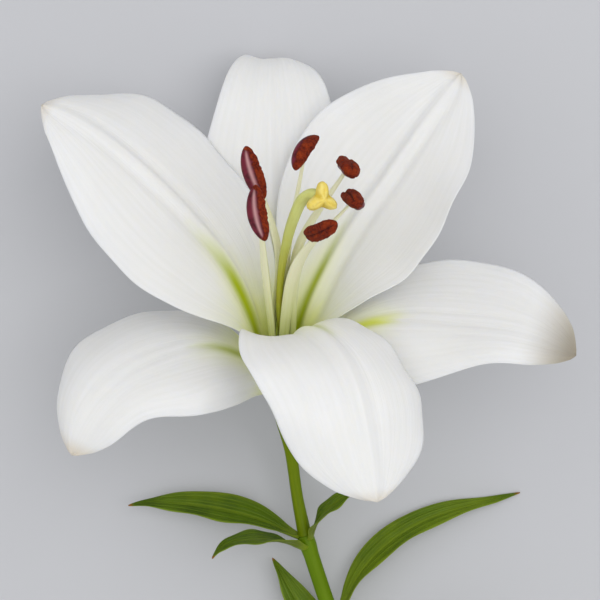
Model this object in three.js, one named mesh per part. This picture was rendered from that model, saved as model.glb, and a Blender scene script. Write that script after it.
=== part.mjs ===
// A cut white lily: one open flower on its pedicel, and the leafy top of its stem, lying on its back.
// Millimetres. The plant is shaped upright first: +X to its right, -Y to its front, +Z up, with the
// flower's receptacle at the origin. It is then laid down, so that the finished part has +Z up,
// +Y from the cut end towards the flower, and its origin under the middle of it on the surface.
import * as THREE from 'three';

// Driving sizes of the flower
const tepalLength = 122; // along the midrib of a middling tepal; each tepal has its own share of it
const innerWidth = 60; // the three broad tepals of the inner whorl
const outerWidth = 50; // the three narrower ones of the outer whorl
const tepalWall = 0.9;
const ovaryLength = 20;
const ovaryRadius = 1.9;
const filamentLength = 84; // along the flower's axis
const filamentRadius = 1.2; // half its breadth at the base
const filamentFlat = 0.5; // its depth by its breadth
const antherLength = 17;
const antherRadius = 2.5;
const antherFlat = 0.75; // its depth by its breadth
const styleLength = 66; // from the ovary to its end
const styleRadius = 1.6;
const stigmaRadius = 4.8;
const stigmaFlat = 0.4; // half its thickness by its radius
const stigmaTurn = 30; // degrees that its lobes are turned about its axis
const throatRoom = 0.6; // between the filaments and the inner tepals
const receptacleDepth = 5;
const receptacleLip = 0.2; // how far it stands past the outer tepals' midribs
const flowerNod = 47; // degrees that the flower's axis leans to the front
const flowerTilt = 4; // degrees that it leans to its right

// Driving sizes of the stem
const pedicelRadius = 1.9;
const neckLength = 7; // the pedicel's straight end, in line with the flower's axis
const stemRadius = 2.5;
const leafWall = 0.7;
const leafLength = 76; // each leaf has its own share of it
const leafWidth = 13;
const fit = 0.35; // gap between two pieces that touch

// How the plant lies: degrees across its length and about it, which rest it on a tepal's tip and two leaves
const restPitch = -5;
const restRoll = 1.5;

// How finely the thin pieces are drawn
const ribSteps = 200;
const leastHalf = 0.3; // half the breadth of a blade's blunt tip
const thinning = [1, 1, 1, 1, 0.7]; // of a blade's wall towards its tip
const even = [1, 1];
const straight = [0, 0];

const toRadians = THREE.MathUtils.degToRad;
const vector = (point) => new THREE.Vector3(...point);
const smoothCurve = (points) => new THREE.CatmullRomCurve3(points.map(vector), false, 'centripetal');

// The smooth value at share s of the way along a list of equally spaced values
function ramp(values, s) {
  const last = values.length - 1;
  const place = THREE.MathUtils.clamp(s, 0, 1) * last;
  const i = Math.min(Math.floor(place), last - 1);
  const f = place - i;
  const [b, c] = [values[i], values[i + 1]];
  const a = values[i - 1] ?? 2 * b - c;
  const d = values[i + 2] ?? 2 * c - b;
  return b + 0.5 * f * (c - a + f * (2 * a - 5 * b + 4 * c - d + f * (3 * b - a - 3 * c + d)));
}

// The directions along, across and into a blade that grows round +Z, at share s of its length
function heading(blade, s) {
  const lean = toRadians(ramp(blade.lean, s));
  const turn = toRadians(blade.azimuth + ramp(blade.swerve, s));
  const across = new THREE.Vector3(-Math.sin(turn), Math.cos(turn), 0);
  const along = new THREE.Vector3(Math.cos(turn), Math.sin(turn), 0);
  along.multiplyScalar(Math.sin(lean)).setZ(Math.cos(lean));
  const into = along.clone().cross(across);
  const roll = toRadians(ramp(blade.roll, s));
  across.applyAxisAngle(along, roll);
  into.applyAxisAngle(along, roll);
  return { along, across, into };
}

// The midrib of a blade, walked in small steps from its base
function midrib(blade) {
  const turn = toRadians(blade.azimuth);
  const spot = new THREE.Vector3(Math.cos(turn), Math.sin(turn), 0).multiplyScalar(blade.radius);
  spot.setZ(blade.height);
  const spots = [spot.clone()];
  for (let step = 0; step < ribSteps; step += 1) {
    spot.addScaledVector(heading(blade, (step + 0.5) / ribSteps).along, blade.length / ribSteps);
    spots.push(spot.clone());
  }
  return spots;
}

// A thin closed blade: a flat box bent along its midrib and cupped across it
function bladeGeometry(blade, acrossSteps, alongSteps) {
  const geometry = new THREE.BoxGeometry(2, 1, 1, acrossSteps, alongSteps, 1);
  const corners = geometry.getAttribute('position');
  const rib = midrib(blade);
  const spot = new THREE.Vector3();
  for (let i = 0; i < corners.count; i += 1) {
    const u = corners.getX(i); // -1 to 1 across, 1 on the side that lies anticlockwise
    const s = corners.getY(i) + 0.5; // 0 at the base, 1 at the tip
    const out = corners.getZ(i) * blade.wall * ramp(thinning, s);
    const step = s * ribSteps;
    const low = Math.min(Math.floor(step), ribSteps - 1);
    spot.lerpVectors(rib[low], rib[low + 1], step - low);
    const { across, into } = heading(blade, s);
    const [cup, full] = u > 0 ? [blade.cupLeft, blade.fullLeft] : [blade.cupRight, blade.fullRight];
    const half = Math.max(leastHalf, 0.5 * blade.width * ramp(blade.outline, s) * ramp(full, s));
    const bend = toRadians(ramp(cup, s));
    const turned = bend * Math.abs(u);
    const round = Math.abs(bend) > 0.001;
    const aside = round ? (half * Math.sin(turned)) / bend : half * Math.abs(u);
    const rise = round ? (half * (1 - Math.cos(turned))) / bend : 0;
    spot.addScaledVector(across, Math.sign(u) * (aside + out * Math.sin(turned)));
    spot.addScaledVector(into, rise - out * Math.cos(turned));
    corners.setXYZ(i, spot.x, spot.y, spot.z);
  }
  geometry.computeVertexNormals();
  return geometry;
}

// A closed rod along a smooth curve. Its shares of the radius run from its start to its end,
// and flat is its depth by its breadth.
function rodGeometry(curve, radius, shares, options = {}) {
  const { sides = 8, steps = 12, flat = 1, breadth = vector([1, 0, 0]) } = options;
  const geometry = new THREE.CylinderGeometry(1, 1, 1, sides, steps);
  const corners = geometry.getAttribute('position');
  const wide = new THREE.Vector3();
  const deep = new THREE.Vector3();
  for (let i = 0; i < corners.count; i += 1) {
    const s = THREE.MathUtils.clamp(corners.getY(i) + 0.5, 0, 1);
    const along = curve.getTangentAt(s);
    wide.copy(breadth).addScaledVector(along, -breadth.dot(along)).normalize();
    deep.crossVectors(wide, along);
    const reach = radius * ramp(shares, s);
    const spot = curve.getPointAt(s);
    spot.addScaledVector(wide, corners.getX(i) * reach);
    spot.addScaledVector(deep, corners.getZ(i) * reach * flat);
    corners.setXYZ(i, spot.x, spot.y, spot.z);
  }
  geometry.computeVertexNormals();
  return geometry;
}

function mesh(name, geometry, material) {
  const piece = new THREE.Mesh(geometry, material);
  piece.name = name;
  return piece;
}

const finish = (color, roughness) => () => new THREE.MeshStandardMaterial({ color, roughness, metalness: 0 });
const white = finish(0xeeeeea, 0.55);
const paleGreen = finish(0xdfe4b4, 0.5);
const yellowGreen = finish(0xb9bf50, 0.45);
const yellow = finish(0xdcc653, 0.6);
const rust = finish(0x6b2210, 0.8);
const stemGreen = finish(0x5f7d10, 0.45);
const leafGreen = finish(0x4a6a0a, 0.45);

const plant = new THREE.Group();
plant.name = 'plant';

// The flower, on an axis of its own
const flower = new THREE.Group();
flower.rotation.set(toRadians(flowerNod), toRadians(flowerTilt), 0, 'YXZ');
plant.add(flower);

const filamentDepth = filamentFlat * filamentRadius; // half its thickness
const filamentRing = ovaryRadius + fit + filamentDepth;
const innerRing = filamentRing + filamentDepth + fit + throatRoom + 0.5 * tepalWall;
const outerRing = innerRing + tepalWall + 2 * fit;
const receptacleRadius = outerRing + receptacleLip;

const innerOutline = [0.115, 0.2, 0.42, 0.76, 0.97, 1.0, 0.88, 0.6, 0.08];
const outerOutline = [0.17, 0.24, 0.42, 0.71, 0.95, 1.0, 0.9, 0.62, 0.06];
const inner = { radius: innerRing, outline: innerOutline, width: innerWidth };
const outer = { radius: outerRing, outline: outerOutline, width: outerWidth };

// Azimuths run anticlockwise from the plant's right, as the open flower is looked into
const tepals = [
  {
    ...inner, name: 'inner_tepal_upper_left', azimuth: 158, share: 1.03,
    lean: [5, 22, 50, 58, 85], swerve: [0, -4, -4, 0, 8],
    cupLeft: [45, 40, -5, -25, -30], fullLeft: [1, 1.08, 1.06, 1, 1],
    cupRight: [45, 45, 12, -25, -50], fullRight: [1, 0.82, 0.8, 1.18, 1.8],
  },
  {
    ...inner, name: 'inner_tepal_upper_right', azimuth: 48, share: 0.96,
    lean: [5, 22, 46, 50, 55], swerve: straight,
    cupLeft: [45, 45, 30, 20, 10], fullLeft: [1, 0.82, 0.95, 1.08, 1],
    cupRight: [45, 45, 30, 20, 10], fullRight: [1, 0.9, 0.99, 1, 1],
  },
  {
    ...inner, name: 'inner_tepal_bottom', azimuth: -80, share: 0.96,
    lean: [5, 16, 63, 118, 140], swerve: [0, 20, 21, 10, 6],
    cupLeft: [45, 30, -30, -50, -45], fullLeft: [1, 0.62, 0.56, 0.9, 1.2],
    cupRight: [45, 60, 20, -20, -30], fullRight: [1, 0.84, 0.94, 0.95, 1.5],
  },
  {
    ...outer, name: 'outer_tepal_top', azimuth: 98, share: 1.02,
    lean: [5, 28, 52, 70, 165], swerve: [0, 0, 0, -2, -6],
    cupLeft: [38, 20, 0, 0, 0], fullLeft: [1, 1, 1, 0.78, 0.8],
    cupRight: [38, 20, -5, -10, 0], fullRight: [1, 0.9, 0.8, 0.75, 0.8],
  },
  {
    ...outer, name: 'outer_tepal_right', azimuth: -20, share: 0.92,
    lean: [5, 30, 72, 78, 115], swerve: [0, 6, 8, 7, 0],
    cupLeft: [38, 25, 10, 10, 10], fullLeft: [1, 0.85, 0.97, 1.09, 1.1],
    cupRight: [38, 15, -28, -15, -20], fullRight: [1, 1, 0.95, 0.68, 0.8],
  },
  {
    ...outer, name: 'outer_tepal_lower_left', azimuth: 222, share: 0.8,
    lean: [5, 40, 88, 110, 160], swerve: [0, -18, -15, 2, 24],
    cupLeft: [38, 25, -10, -20, -20], fullLeft: [1, 1.3, 0.98, 0.68, 1],
    cupRight: [38, 20, -25, -38, -40], fullRight: [1, 0.9, 1.02, 1.12, 1],
  },
];
for (const tepal of tepals) {
  const blade = { ...tepal, length: tepalLength * tepal.share, wall: tepalWall, height: fit, roll: straight };
  flower.add(mesh(tepal.name, bladeGeometry(blade, 8, 22), white()));
}

// The receptacle, a small cup that everything in the flower grows from
const receptacle = new THREE.LatheGeometry([
  [0, -receptacleDepth], [1.26 * pedicelRadius, -receptacleDepth],
  [0.8 * receptacleRadius, -0.44 * receptacleDepth], [receptacleRadius, -0.2 * receptacleDepth],
  [receptacleRadius, 0], [0, 0],
].map(([r, z]) => new THREE.Vector2(r, z)), 16);
receptacle.rotateX(Math.PI / 2);
flower.add(mesh('receptacle', receptacle, stemGreen()));

// The ovary stands in the middle, and the style rises from it to the three-lobed stigma
const ovaryTop = fit + ovaryLength;
const ovary = rodGeometry(smoothCurve([[0, 0, fit], [0, 0, ovaryTop]]), ovaryRadius, [0.85, 1, 1, 0.7]);
flower.add(mesh('ovary', ovary, yellowGreen()));

// The style's points are shares of its length, measured from the top of the ovary
const styleFoot = new THREE.Vector3(0, 0, ovaryTop + fit);
const styleShares = [
  [0, 0, 0], [-0.03, -0.015, 0.232], [-0.032, -0.015, 0.52], [-0.014, -0.012, 0.717],
  [0.009, -0.006, 0.853], [0.042, 0.012, 0.952], [0.079, 0.009, 0.989], [0.117, -0.012, 0.995],
];
const stylePoints = styleShares.map((p) => vector(p).multiplyScalar(styleLength).add(styleFoot).toArray());
const style = rodGeometry(smoothCurve(stylePoints), styleRadius, [0.6, 0.62, 0.85, 1.05, 1.2],
  { steps: 20, breadth: vector([0, 1, 0]) });
flower.add(mesh('style', style, yellowGreen()));

const stigma = new THREE.SphereGeometry(stigmaRadius, 18, 8);
const lobes = stigma.getAttribute('position');
for (let i = 0; i < lobes.count; i += 1) {
  const turn = Math.atan2(lobes.getZ(i), lobes.getX(i));
  const swell = 0.78 + 0.22 * Math.cos(3 * turn);
  lobes.setXYZ(i, lobes.getX(i) * swell, lobes.getY(i) * stigmaFlat, lobes.getZ(i) * swell);
}
stigma.computeVertexNormals();
const stigmaPiece = mesh('stigma', stigma, yellow());
const stigmaFaces = vector([0.35, -0.75, 0.56]).normalize();
const stigmaReach = stigmaFlat * stigmaRadius + 0.5 * styleRadius + fit; // clear of the style's slanting end
stigmaPiece.quaternion.setFromUnitVectors(vector([0, 1, 0]), stigmaFaces);
stigmaPiece.rotateY(toRadians(stigmaTurn));
stigmaPiece.position.set(...stylePoints.at(-1)).addScaledVector(stigmaFaces, stigmaReach);
flower.add(stigmaPiece);

// Six stamens, one before each tepal. The filament stays close to the style up to its bend and then
// spreads; the anther sits across its tip, held by the middle of its back. The anther's place and the
// bend's are shares of the filament's length.
const bendHeight = 0.7; // of the tip's
const collarSpread = 1.2; // of the foot's ring, where the filament passes the ovary's top
const collarLean = -0.5 * filamentRadius; // all of them lean a little to the plant's left there
const ribbon = [1.1, 1.3, 1.5, 0.5]; // shares of the filament's radius, from its foot to its tip
const slenderRibbon = [1, 1, 0.8, 0.4];
const stamens = [
  {
    name: 'upper_left', azimuth: 158, bend: [-0.043, 0.043], at: [-0.148, 0.1, 1.018],
    lies: [0.38, -0.67, -0.63], faces: [-0.3, -0.65, 0.7],
  },
  {
    name: 'lower_left', azimuth: 218, bend: [-0.087, -0.016], at: [-0.119, -0.067, 0.988],
    lies: [0.24, -0.71, -0.66], faces: [-0.3, -0.65, 0.7],
  },
  {
    name: 'top', azimuth: 98, bend: [-0.005, 0.071], at: [0.03, 0.206, 1.048],
    lies: [0.36, 0.93, -0.02], faces: [0, 0, 1], ribbon: slenderRibbon,
  },
  {
    name: 'upper_right', azimuth: 38, bend: [0.031, 0.052], at: [0.188, 0.149, 1.036],
    lies: [0.14, -0.86, 0.6], faces: [0.5, 0.5, 0.7],
  },
  {
    name: 'right', azimuth: -22, bend: [0.046, 0.005], at: [0.213, 0.024, 1],
    lies: [0.2, -0.82, 0.62], faces: [0.6, 0.4, 0.7],
  },
  {
    name: 'bottom', azimuth: -82, bend: [0.012, -0.05], at: [0.1, -0.144, 1],
    lies: [0.5, -0.4, 0.74], faces: [0, -0.8, 0.6],
  },
];
for (const stamen of stamens) {
  const turn = toRadians(stamen.azimuth);
  const lies = vector(stamen.lies).normalize();
  const faces = vector(stamen.faces);
  faces.addScaledVector(lies, -faces.dot(lies)).normalize();
  const anther = new THREE.SphereGeometry(1, 10, 10);
  anther.scale(antherRadius, 0.5 * antherLength, antherRadius * antherFlat);
  const piece = mesh(`anther_${stamen.name}`, anther, rust());
  piece.matrix.makeBasis(lies.clone().cross(faces), lies, faces);
  piece.quaternion.setFromRotationMatrix(piece.matrix);
  piece.position.set(...stamen.at).multiplyScalar(filamentLength);
  flower.add(piece);

  const foot = vector([Math.cos(turn), Math.sin(turn), 0]).multiplyScalar(filamentRing).setZ(fit);
  const collar = foot.clone().multiplyScalar(collarSpread).setZ(ovaryTop + filamentRadius);
  collar.x += collarLean;
  const tip = piece.position.clone().addScaledVector(faces, -(antherRadius * antherFlat + 2 * fit));
  const bend = vector([...stamen.bend, 0]).multiplyScalar(filamentLength).setZ(bendHeight * tip.z);
  const breadth = vector([-Math.sin(turn), Math.cos(turn), 0]);
  const run = smoothCurve([foot, collar, bend, tip].map((point) => point.toArray()));
  const shape = { sides: 6, flat: filamentFlat, breadth };
  const filament = rodGeometry(run, filamentRadius, stamen.ribbon ?? ribbon, shape);
  flower.add(mesh(`filament_${stamen.name}`, filament, paleGreen()));
}

// The stem runs down from the node of the uppermost leaves to the cut
const stemPoints = [
  [7.5, 19, -49], [14, 20.5, -69], [22, 22, -92], [30, 25.5, -122], [36, 31, -158], [39, 38, -196],
];
const stemCurve = smoothCurve(stemPoints);
const stem = rodGeometry(stemCurve, stemRadius, [1, 1, 1, 1.05, 1.1, 1.1], { steps: 22 });
plant.add(mesh('stem', stem, stemGreen()));

// The pedicel rises from that node and nods over to carry the flower
const flowerAxis = vector([0, 0, 1]).applyEuler(flower.rotation);
const pedicelTop = flowerAxis.clone().multiplyScalar(-(receptacleDepth + fit));
const neck = flowerAxis.clone().multiplyScalar(-(receptacleDepth + neckLength));
const pedicelFoot = stemCurve.getTangentAt(0).multiplyScalar(-2 * fit).add(vector(stemPoints[0]));
const pedicelCurve = smoothCurve([
  pedicelFoot.toArray(), [5.2, 18.4, -37], [3, 15.5, -22], neck.toArray(), pedicelTop.toArray(),
]);
const pedicel = rodGeometry(pedicelCurve, pedicelRadius, [1.15, 1, 1, 1, 1.1], { steps: 14 });
plant.add(mesh('pedicel', pedicel, stemGreen()));

// Stem leaves, each on an axis along the stem at its own distance below the node
const leafOutline = [0.3, 0.62, 0.9, 1, 0.95, 0.8, 0.58, 0.31, 0.05];
const leaves = [
  {
    name: 'leaf_long_left', below: 0.5, azimuth: 176, share: 0.75, size: 0.95,
    lean: [34, 54, 62, 70, 84], swerve: straight, roll: [-15, -35, -42, -42, -40],
  },
  {
    name: 'leaf_front_left', below: 4.5, azimuth: 230, share: 0.49, size: 0.9,
    lean: [42, 61, 71, 84, 128], swerve: [0, -10, -16, -20, -20], roll: [0, -14, -24, -24, -10],
  },
  {
    name: 'leaf_small_right', below: 2, azimuth: -52, share: 0.34, size: 0.65,
    lean: [24, 50, 64, 74, 86], swerve: [0, 22, 40, 46, 48], roll: [10, 20, 30, 40, 40],
  },
  {
    name: 'leaf_big_right', below: 30, azimuth: 5, share: 1, size: 0.8,
    lean: [28, 60, 81, 96, 96], swerve: straight, roll: [20, 42, 46, 46, 44],
  },
  {
    name: 'leaf_lower_left', below: 46.5, azimuth: 158, share: 0.56, size: 0.9,
    lean: [15, 16, 16, 15, 16], swerve: straight, roll: [-20, -35, -40, -40, -40],
  },
  {
    name: 'leaf_lower_right', below: 64.5, azimuth: -30, share: 0.9, size: 1,
    lean: [25, 45, 62, 78, 98], swerve: straight, roll: [10, 20, 25, 30, 30],
  },
  {
    name: 'leaf_low_left', below: 78.5, azimuth: 184, share: 1, size: 1,
    lean: [25, 48, 64, 76, 90], swerve: [0, -6, -12, -22, -34], roll: [-10, -25, -35, -40, -40],
  },
  {
    name: 'leaf_lowest', below: 96.5, azimuth: -70, share: 0.8, size: 1,
    lean: [20, 35, 50, 68, 86], swerve: [0, 10, 20, 30, 40], roll: [0, 10, 15, 20, 20],
  },
];
const leafCup = [40, 35, 25, 15, 10];
const leafShape = {
  outline: leafOutline, wall: leafWall, radius: stemRadius + leafWall + fit, height: 0,
  cupLeft: leafCup, cupRight: leafCup, fullLeft: even, fullRight: even,
};
for (const leaf of leaves) {
  const share = leaf.below / stemCurve.getLength();
  const socket = new THREE.Group();
  socket.position.copy(stemCurve.getPointAt(share));
  const upStem = stemCurve.getTangentAt(share).negate();
  socket.quaternion.setFromUnitVectors(vector([0, 0, 1]), upStem);
  plant.add(socket);
  const blade = { ...leafShape, ...leaf, length: leafLength * leaf.share, width: leafWidth * leaf.size };
  socket.add(mesh(leaf.name, bladeGeometry(blade, 4, 16), leafGreen()));
}

// Laid on its back, with the middle of its box over the origin
const lily = new THREE.Group();
lily.add(plant);
plant.rotation.set(toRadians(-90 + restPitch), toRadians(restRoll), 0, 'YXZ');
lily.updateMatrixWorld(true);
const box = new THREE.Box3().setFromObject(lily, true);
plant.position.set(-0.5 * (box.min.x + box.max.x), -0.5 * (box.min.y + box.max.y), -box.min.z);

export default lily;
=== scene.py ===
import math
import bmesh
import bpy
from mathutils import Matrix, Vector, noise


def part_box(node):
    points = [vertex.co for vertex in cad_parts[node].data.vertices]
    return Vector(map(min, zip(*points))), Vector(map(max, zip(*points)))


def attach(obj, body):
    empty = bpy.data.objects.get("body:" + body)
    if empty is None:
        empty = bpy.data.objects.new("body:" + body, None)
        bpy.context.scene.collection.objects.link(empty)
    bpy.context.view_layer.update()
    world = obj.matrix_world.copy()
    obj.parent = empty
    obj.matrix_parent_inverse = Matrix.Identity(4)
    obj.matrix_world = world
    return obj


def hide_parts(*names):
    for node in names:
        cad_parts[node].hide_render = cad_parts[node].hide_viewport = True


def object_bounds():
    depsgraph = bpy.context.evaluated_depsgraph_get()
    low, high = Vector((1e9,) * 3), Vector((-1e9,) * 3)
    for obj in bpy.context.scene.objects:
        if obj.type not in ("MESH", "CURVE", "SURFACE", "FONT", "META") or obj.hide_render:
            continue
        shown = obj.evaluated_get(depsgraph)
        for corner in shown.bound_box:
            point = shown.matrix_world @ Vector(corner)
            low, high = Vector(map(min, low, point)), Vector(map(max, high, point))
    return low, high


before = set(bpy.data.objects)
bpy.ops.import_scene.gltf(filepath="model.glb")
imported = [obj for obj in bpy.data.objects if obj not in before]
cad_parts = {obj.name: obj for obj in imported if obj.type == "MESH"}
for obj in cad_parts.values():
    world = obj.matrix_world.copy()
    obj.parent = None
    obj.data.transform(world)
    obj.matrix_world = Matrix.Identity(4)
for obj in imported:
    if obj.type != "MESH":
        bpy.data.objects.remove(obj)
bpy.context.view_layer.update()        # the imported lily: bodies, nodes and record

mm = 0.001
scene = bpy.context.scene
print("frame loaded:", len(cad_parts), "nodes")


# Shapes are worked out in millimetres, upright, with the flower's receptacle at the origin, then laid down.
# topAnther is the middle of that anther along the flower's own axes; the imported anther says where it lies.
lying = {"pitch": -5, "roll": 1.5, "nod": 47, "tilt": 4, "topAnther": (2.52, 17.304, 88.032)}
fit = 0.35        # room between neighbouring pieces
plantTurn = (Matrix.Rotation(math.radians(lying["roll"]), 3, "Y")
             @ Matrix.Rotation(math.radians(lying["pitch"] - 90), 3, "X"))
flowerTurn = Matrix.Rotation(math.radians(lying["tilt"]), 3, "Y") @ Matrix.Rotation(math.radians(lying["nod"]), 3, "X")
antherLow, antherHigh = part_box("anther_top")
antherHere = flowerTurn @ Vector(lying["topAnther"]) * mm
plantShift = (antherLow + antherHigh) / 2 - plantTurn @ antherHere
plantPlace = Matrix.Translation(plantShift) @ plantTurn.to_4x4() @ Matrix.Scale(mm, 4)
flowerPlace = plantPlace @ flowerTurn.to_4x4()

# The camera looks square down on the plant
view = {"at": (6.08, -800, 27.52), "lens": 150, "sensor": 36, "nearest": 0.05}
cameraData = bpy.data.cameras.new("camera")
cameraData.lens = view["lens"]
cameraData.sensor_width = view["sensor"]
cameraData.clip_start = view["nearest"]
camera = bpy.data.objects.new("camera", cameraData)
scene.collection.objects.link(camera)
upright = Matrix.Rotation(math.radians(90), 4, "X")
camera.matrix_world = Matrix.Translation(plantPlace @ Vector(view["at"])) @ plantTurn.to_4x4() @ upright
scene.camera = camera

# Soft studio light: a pale sky and three softboxes, in metres from the middle of the plant
studio = {
    "sky": (0.98, 0.982, 0.994), "skyStrength": 0.73,
    "lights": [
        {"name": "keySoftbox", "at": (0.4, 0.25, 1.15), "size": 0.9, "power": 4.6, "tint": (1.0, 0.995, 0.98)},
        {"name": "fillSoftbox", "at": (-0.75, 0.2, 1.0), "size": 1.4, "power": 1.6, "tint": (0.98, 0.99, 1.0)},
        {"name": "frontSoftbox", "at": (0.0, 0.45, 1.3), "size": 0.9, "power": 1.4, "tint": (1.0, 1.0, 1.0)},
    ],
}
for lamp in studio["lights"]:
    lampData = bpy.data.lights.new(lamp["name"], "AREA")
    lampData.size = lamp["size"]
    lampData.energy = lamp["power"]
    lampData.color = lamp["tint"]
    softbox = bpy.data.objects.new(lamp["name"], lampData)
    softbox.location = lamp["at"]
    softbox.rotation_euler = (-Vector(lamp["at"])).to_track_quat("-Z", "Y").to_euler()
    scene.collection.objects.link(softbox)

world = bpy.data.worlds.new("studio")
scene.world = world
world.use_nodes = True
world.node_tree.nodes["Background"].inputs["Color"].default_value = (*studio["sky"], 1)
world.node_tree.nodes["Background"].inputs["Strength"].default_value = studio["skyStrength"]
scene.view_settings.view_transform = "Standard"


def paint(red, green, blue):        # a screen colour as the linear colour that a shader wants
    shares = [part / 255 for part in (red, green, blue)]
    return (*(part / 12.92 if part <= 0.04045 else ((part + 0.055) / 1.055) ** 2.4 for part in shares), 1)


def fillSockets(tree, made, values):
    for key, value in values.items():
        if isinstance(value, bpy.types.NodeSocket):
            tree.links.new(value, made.inputs[key])
        else:
            made.inputs[key].default_value = value


def addNode(tree, kind, values=None, **settings):
    made = tree.nodes.new(kind if kind.startswith("Node") else "ShaderNode" + kind)
    for key, value in settings.items():
        setattr(made, key, value)
    fillSockets(tree, made, values or {})
    return made


def maths(tree, operation, a, b=0.0):
    return addNode(tree, "Math", {0: a, 1: b}, operation=operation).outputs[0]


def times(tree, a, b):
    return maths(tree, "MULTIPLY", a, b)


def plus(tree, a, b):
    return maths(tree, "ADD", a, b)


def minus(tree, a, b):
    return maths(tree, "SUBTRACT", a, b)


def slide(tree, value, low, high, toLow=0.0, toHigh=1.0):        # smooth, from toLow at low to toHigh at high
    places = {0: value, 1: low, 2: high, 3: toLow, 4: toHigh}
    return addNode(tree, "MapRange", places, interpolation_type="SMOOTHSTEP").outputs[0]


def blendColour(tree, share, first, second):
    return addNode(tree, "Mix", {0: share, 6: first, 7: second}, data_type="RGBA").outputs[2]


def tint(tree, colour, mask, share, shade):        # lays a share of the shade over the colour, where the mask is
    return blendColour(tree, times(tree, mask, share), colour, shade)


def splitVector(tree, vector):
    return addNode(tree, "SeparateXYZ", {0: vector}).outputs


def newGroup(name, result, *taken):        # puts out one value, and takes in values and one vector or Place
    group = bpy.data.node_groups.new(name, "ShaderNodeTree")
    for label in taken:
        kind = "Vector" if label in ("Vector", "Place") else "Float"
        group.interface.new_socket(name=label, in_out="INPUT", socket_type="NodeSocket" + kind)
    group.interface.new_socket(name=result, in_out="OUTPUT", socket_type="NodeSocketFloat")
    return group, addNode(group, "NodeGroupInput").outputs, addNode(group, "NodeGroupOutput").inputs[0]


def useGroup(tree, group, values):
    made = tree.nodes.new("ShaderNodeGroup")
    made.node_tree = group
    fillSockets(tree, made, values)
    return made.outputs[0]


def newSkin(look):        # flesh is how much light soaks in, and fleshDepth how far, in metres
    material = bpy.data.materials.new(look["name"])
    material.use_nodes = True
    tree = material.node_tree
    shader = tree.nodes["Principled BSDF"]
    shader.inputs["Roughness"].default_value = look["roughness"]
    shader.inputs["Specular IOR Level"].default_value = look["gloss"]
    shader.inputs["Subsurface Weight"].default_value = look.get("flesh", 0.0)
    shader.inputs["Subsurface Scale"].default_value = look.get("fleshDepth", 0.002)
    shader.inputs["Subsurface Radius"].default_value = (1.0, 0.9, 0.7)
    shader.inputs["Sheen Weight"].default_value = look.get("sheen", 0.0)
    return material, tree, shader


def addBump(tree, shader, height, look):        # reliefDepth is in metres
    made = addNode(tree, "Bump", {"Strength": look["relief"], "Distance": look["reliefDepth"], "Height": height})
    tree.links.new(made.outputs[0], shader.inputs["Normal"])


def dress(tree, shader, colour, height, look):
    tree.links.new(colour, shader.inputs["Base Color"])
    addBump(tree, shader, height, look)


def addDulling(tree, shader, mask, look, less, more):        # roughness goes from less to more than the look's own
    dull = slide(tree, mask, 0.0, 1.0, look["roughness"] + less, look["roughness"] + more)
    tree.links.new(dull, shader.inputs["Roughness"])


def readVector(tree, name):
    return addNode(tree, "Attribute", attribute_name=name, attribute_type="GEOMETRY").outputs[1]


def readValue(tree, name):
    return addNode(tree, "Attribute", attribute_name=name, attribute_type="GEOMETRY").outputs[2]


def objectPlace(tree):
    return addNode(tree, "TexCoord").outputs["Object"]


# Soft blotches between Low and High
mottle, given, out = newGroup("mottle", "Mask", "Vector", "Scale", "Low", "High")
cloud = addNode(mottle, "TexNoise", {"Vector": given["Vector"], "Scale": given["Scale"], "Detail": 4.0})
mottle.links.new(slide(mottle, cloud.outputs[0], given["Low"], given["High"]), out)

# Lines that run along a blade or a rod and wander a little: Place is across, along and side
veins, given, out = newGroup("veins", "Vein", "Place", "Count", "Wander", "Sharpness")
across = splitVector(veins, given["Place"])[0]
drift = addNode(veins, "TexNoise", {"Vector": given["Place"], "Scale": 3.0, "Detail": 2.0}).outputs[0]
shifted = plus(veins, times(veins, across, given["Count"]), times(veins, drift, given["Wander"]))
wave = maths(veins, "ABSOLUTE", maths(veins, "COSINE", times(veins, shifted, math.pi)))
line = maths(veins, "POWER", wave, given["Sharpness"])
broken = addNode(veins, "TexNoise", {"Vector": given["Place"], "Scale": 9.0, "Detail": 3.0}).outputs[0]
veins.links.new(times(veins, line, slide(veins, broken, 0.3, 0.6, 0.35, 1.0)), out)

# A soft stripe beside the midrib that fades out between Start and End of the blade
ribStripe, given, out = newGroup("ribStripe", "Mask", "Distance", "Shift", "Along", "Width", "Start", "End")
gap = maths(ribStripe, "ABSOLUTE", minus(ribStripe, given["Distance"], given["Shift"]))
near = minus(ribStripe, 1.0, slide(ribStripe, gap, 0.0, given["Width"]))
fading = minus(ribStripe, 1.0, slide(ribStripe, given["Along"], given["Start"], given["End"]))
ribStripe.links.new(times(ribStripe, near, fading), out)

# Cell-like skin grain, in height
grain, given, out = newGroup("grain", "Height", "Vector", "Scale", "Roughen")
cells = addNode(grain, "TexVoronoi", {"Vector": given["Vector"], "Scale": given["Scale"]}, feature="SMOOTH_F1")
coarser = times(grain, given["Scale"], 0.35)
dust = addNode(grain, "TexNoise", {"Vector": given["Vector"], "Scale": coarser, "Detail": 4.0})
grain.links.new(plus(grain, cells.outputs[0], times(grain, dust.outputs[0], given["Roughen"])), out)
print("shader groups built")


def blotches(tree, vector, scale, low, high):
    return useGroup(tree, mottle, {"Vector": vector, "Scale": scale, "Low": low, "High": high})


def veinLines(tree, blade, count, wander, sharpness):
    return useGroup(tree, veins, {"Place": blade, "Count": count, "Wander": wander, "Sharpness": sharpness})


def ribLine(tree, distance, shift, along, width, start, end):
    return useGroup(tree, ribStripe, {"Distance": distance, "Shift": shift, "Along": along, "Width": width,
                                      "Start": start, "End": end})


def grainHeight(tree, vector, scale, roughen):
    return useGroup(tree, grain, {"Vector": vector, "Scale": scale, "Roughen": roughen})


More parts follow.
